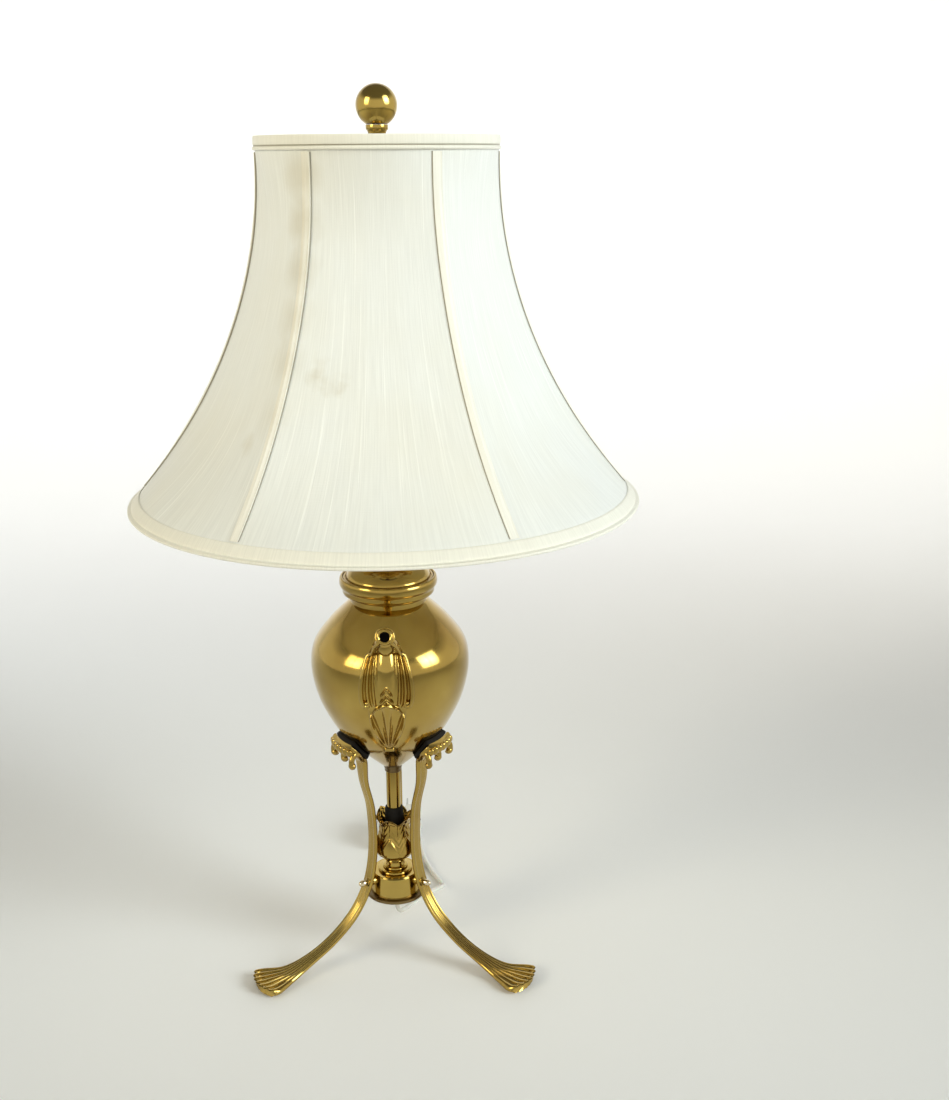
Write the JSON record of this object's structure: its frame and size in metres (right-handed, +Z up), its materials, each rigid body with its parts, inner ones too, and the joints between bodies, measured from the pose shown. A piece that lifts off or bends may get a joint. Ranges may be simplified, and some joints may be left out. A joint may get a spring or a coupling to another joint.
{
  "type": "table lamp",
  "caption": "Table lamp built as a brass spirit kettle on a tripod with scalloped feet, with a leaf-moulded spout, a burner below, and a panelled cream bell shade on a harp with a ball finial.",
  "frame": {"origin": "on the table under the lamp's axis, the centre of the shade's outline", "axes": "+Z up, the spout points along -Y, the handle along +Y, +X to the lamp's left side as seen from the handle"},
  "size_m": [0.4097, 0.4297, 0.7328],
  "materials": {
    "polished_brass": "polished, lacquered, lightly aged",
    "silvered_brass": "worn pale, polished",
    "lamp_brass": "bright plated",
    "aged_brass": "dark, aged",
    "zinc_steel": "zinc plated",
    "black_rubber": "matt",
    "brown_felt": "felt",
    "black_plastic": "moulded phenolic",
    "card_liner": "pressed card",
    "cream_silk": "slubbed silk, slightly stained",
    "cream_trim": "bound silk band with a corded line",
    "white_lining": "smooth lining",
    "frosted_glass": "frosted white",
    "clear_cord": "soft vinyl, pale"
  },
  "bodies": {
    "root": {"foot_pads": "brown_felt", "leg_left": "polished_brass", "leg_right": "polished_brass", "leg_rear": "polished_brass", "leg_spacers": "aged_brass", "leg_screws": "polished_brass", "ball_nuts": "silvered_brass", "saddle_pads": "black_rubber", "saddle_screws": "zinc_steel", "saddle_washers": "zinc_steel", "base_plate": "aged_brass", "base_washer": "zinc_steel", "base_nut": "polished_brass", "cord_bush": "clear_cord", "burner_drum": "polished_brass", "burner_stem": "polished_brass", "leaf_cup": "polished_brass", "wick_bush": "black_rubber", "centre_tube": "polished_brass", "tube_collar": "aged_brass", "lamp_pipe": "zinc_steel", "kettle_body": "polished_brass", "kettle_lid": "polished_brass", "spout": "polished_brass", "kettle_handle": "polished_brass", "handle_rivets": "polished_brass", "neck_spacer": "polished_brass", "harp_saddle": "lamp_brass", "saddle_nut": "lamp_brass", "socket_cap": "lamp_brass", "socket_shell": "lamp_brass", "socket_liner": "card_liner", "socket_body": "black_plastic", "screw_shell": "lamp_brass", "centre_contact": "lamp_brass", "inner_lead": "clear_cord", "cord_run": "clear_cord", "cord_coil": "clear_cord", "plug_body": "clear_cord", "plug_blades": "zinc_steel"},
    "harp": {"harp": "lamp_brass", "harp_stud": "lamp_brass"},
    "ferrule_left": {"ferrule_left": "lamp_brass"},
    "ferrule_right": {"ferrule_right": "lamp_brass"},
    "switch": {"switch_stem": "lamp_brass", "switch_knob": "black_plastic"},
    "bulb": {"bulb_glass": "frosted_glass", "bulb_base": "zinc_steel"},
    "shade": {"shade_spider": "zinc_steel", "shade_frame": "zinc_steel", "shade_silk": "cream_silk", "shade_lining": "white_lining", "shade_top_trim": "cream_trim", "shade_bottom_trim": "cream_trim", "seam_tapes": "cream_silk"},
    "finial": {"finial_neck": "polished_brass", "finial_ball": "polished_brass"}
  },
  "joints": [
    {"name": "harp_lift", "type": "slide", "parent": "root", "child": "harp", "axis": [0, 0, 1], "range_m": [0, 0.025]},
    {"name": "ferrule_left_lift", "type": "slide", "parent": "harp", "child": "ferrule_left", "axis": [0, 0, 1], "range_m": [0, 0.012]},
    {"name": "ferrule_right_lift", "type": "slide", "parent": "harp", "child": "ferrule_right", "axis": [0, 0, 1], "range_m": [0, 0.012]},
    {"name": "shade_turn", "type": "hinge", "parent": "harp", "child": "shade", "pos_m": [0, 0, 0.684], "axis": [0, 0, 1], "continuous": true},
    {"name": "finial_unscrew", "type": "slide", "parent": "harp", "child": "finial", "axis": [0, 0, 1], "range_m": [0, 0.014]},
    {"name": "switch_turn", "type": "hinge", "parent": "root", "child": "switch", "pos_m": [0, -0.0245, 0.414], "axis": [0, -1, 0], "continuous": true},
    {"name": "bulb_unscrew", "type": "slide", "parent": "root", "child": "bulb", "axis": [0, 0, 1], "range_m": [0, 0.03]}
  ]
}
